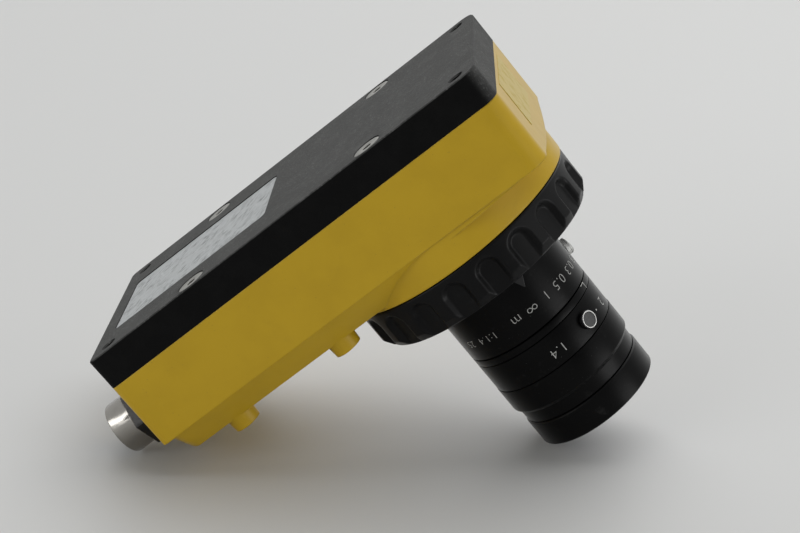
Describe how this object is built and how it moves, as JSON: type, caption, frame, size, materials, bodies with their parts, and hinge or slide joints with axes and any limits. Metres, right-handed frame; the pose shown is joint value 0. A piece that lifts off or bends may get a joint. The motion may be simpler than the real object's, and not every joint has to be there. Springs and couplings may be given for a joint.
{
  "type": "machine vision camera",
  "caption": "Industrial machine vision camera with a C-mount lens, a fluted lens ring, working focus and iris rings and two round panel connectors.",
  "frame": {"origin": "centre of the back cover's outer face", "axes": "+Z out of the back cover, the lens looks along -Z, +X from the connector end to the lens end"},
  "size_m": [0.1201, 0.0614, 0.088],
  "materials": {
    "housing_paint": "painted, satin",
    "cover_paint": "painted, wrinkle texture",
    "ring_plastic": "satin",
    "lens_black": "anodised satin",
    "bare_metal": "satin",
    "plated": "satin",
    "steel": "satin",
    "black_steel": "satin",
    "label_film": "satin",
    "seal_rubber": "matte",
    "insert_plastic": "matte",
    "gold": "plated",
    "light_plastic": "frosted",
    "board_green": "satin",
    "chip_black": "matte",
    "pad_grey": "matte",
    "sensor_ceramic": "matte",
    "cable_film": "satin",
    "glass": "polished"
  },
  "bodies": {
    "camera": {"housing": "housing_paint", "back_cover": "cover_paint", "cover_seal": "seal_rubber", "cover_screws": "black_steel", "rating_label": "label_film", "end_label": "label_film", "io_shell": "plated", "io_insert": "insert_plastic", "io_pins": "gold", "lan_shell": "plated", "lan_insert": "insert_plastic", "lan_contacts": "gold", "connector_seals": "seal_rubber", "connector_nuts": "plated", "status_lights": "light_plastic", "main_board": "board_green", "main_chip": "chip_black", "heat_pad": "pad_grey", "board_parts": "chip_black", "board_screws": "steel", "connector_board": "board_green", "sensor_board": "board_green", "sensor_screws": "steel", "image_sensor": "sensor_ceramic", "sensor_window": "glass", "link_cable": "cable_film", "c_mount": "bare_metal", "mount_screws": "steel", "ring_seal": "seal_rubber", "lens_base": "lens_black"},
    "ring_nut": {"lens_ring": "ring_plastic"},
    "lens_cell": {"cell_barrel": "lens_black", "index_band": "lens_black", "front_barrel": "lens_black", "filter_rim": "lens_black", "front_glass": "glass", "second_glass": "glass", "rear_glass": "glass", "last_glass": "glass", "front_retainer": "lens_black", "rear_retainer": "lens_black", "lens_spacer": "lens_black", "iris_base": "black_steel"},
    "focus_part": {"focus_ring": "lens_black"},
    "focus_screw": {"focus_lock": "black_steel"},
    "iris_part": {"iris_ring": "lens_black", "iris_cam": "black_steel", "iris_drive": "steel"},
    "iris_screw": {"iris_lock": "black_steel"},
    "blade_part_1": {"iris_blade_1": "black_steel"},
    "blade_part_2": {"iris_blade_2": "black_steel"},
    "blade_part_3": {"iris_blade_3": "black_steel"},
    "blade_part_4": {"iris_blade_4": "black_steel"},
    "blade_part_5": {"iris_blade_5": "black_steel"},
    "blade_part_6": {"iris_blade_6": "black_steel"}
  },
  "joints": [
    {"name": "ring_turn", "type": "hinge", "parent": "camera", "child": "ring_nut", "pos_m": [0.024, 0, -0.0333], "axis": [0, 0, 1], "continuous": true},
    {"name": "cell_slide", "type": "slide", "parent": "camera", "child": "lens_cell", "axis": [0, 0, 1], "range_m": [-0.00094, 0.0022]},
    {"name": "focus_turn", "type": "hinge", "parent": "lens_cell", "child": "focus_part", "pos_m": [0.024, 0, -0.05], "axis": [0, 0, 1], "range_deg": [-22.2, 51.7]},
    {"name": "iris_turn", "type": "hinge", "parent": "lens_cell", "child": "iris_part", "pos_m": [0.024, 0, -0.067], "axis": [0, 0, 1], "range_deg": [-35, 15]},
    {"name": "focus_lock_turn", "type": "hinge", "parent": "focus_part", "child": "focus_screw", "pos_m": [0.03941, 0.00719, -0.0549], "axis": [0.9063, 0.4226, 0], "continuous": true},
    {"name": "iris_lock_turn", "type": "hinge", "parent": "iris_part", "child": "iris_screw", "pos_m": [0.03623, -0.01181, -0.0665], "axis": [0.7193, -0.6947, 0], "continuous": true},
    {"name": "blade_turn_1", "type": "hinge", "parent": "lens_cell", "child": "blade_part_1", "pos_m": [0.036, 0, -0.066], "axis": [0, 0, 1], "range_deg": [-9.05, 21.05]},
    {"name": "blade_turn_2", "type": "hinge", "parent": "lens_cell", "child": "blade_part_2", "pos_m": [0.03, 0.01039, -0.066], "axis": [0, 0, 1], "range_deg": [-9.05, 21.05]},
    {"name": "blade_turn_3", "type": "hinge", "parent": "lens_cell", "child": "blade_part_3", "pos_m": [0.018, 0.01039, -0.066], "axis": [0, 0, 1], "range_deg": [-9.05, 21.05]},
    {"name": "blade_turn_4", "type": "hinge", "parent": "lens_cell", "child": "blade_part_4", "pos_m": [0.012, 0, -0.066], "axis": [0, 0, 1], "range_deg": [-9.05, 21.05]},
    {"name": "blade_turn_5", "type": "hinge", "parent": "lens_cell", "child": "blade_part_5", "pos_m": [0.018, -0.01039, -0.066], "axis": [0, 0, 1], "range_deg": [-9.05, 21.05]},
    {"name": "blade_turn_6", "type": "hinge", "parent": "lens_cell", "child": "blade_part_6", "pos_m": [0.03, -0.01039, -0.066], "axis": [0, 0, 1], "range_deg": [-9.05, 21.05]}
  ],
  "couplings": [
    {"joint": "focus_turn", "follows": "cell_slide", "rad_per_m": 408.4},
    {"joint": "blade_turn_1", "follows": "iris_turn", "ratio": -0.6},
    {"joint": "blade_turn_2", "follows": "iris_turn", "ratio": -0.6},
    {"joint": "blade_turn_3", "follows": "iris_turn", "ratio": -0.6},
    {"joint": "blade_turn_4", "follows": "iris_turn", "ratio": -0.6},
    {"joint": "blade_turn_5", "follows": "iris_turn", "ratio": -0.6},
    {"joint": "blade_turn_6", "follows": "iris_turn", "ratio": -0.6}
  ]
}
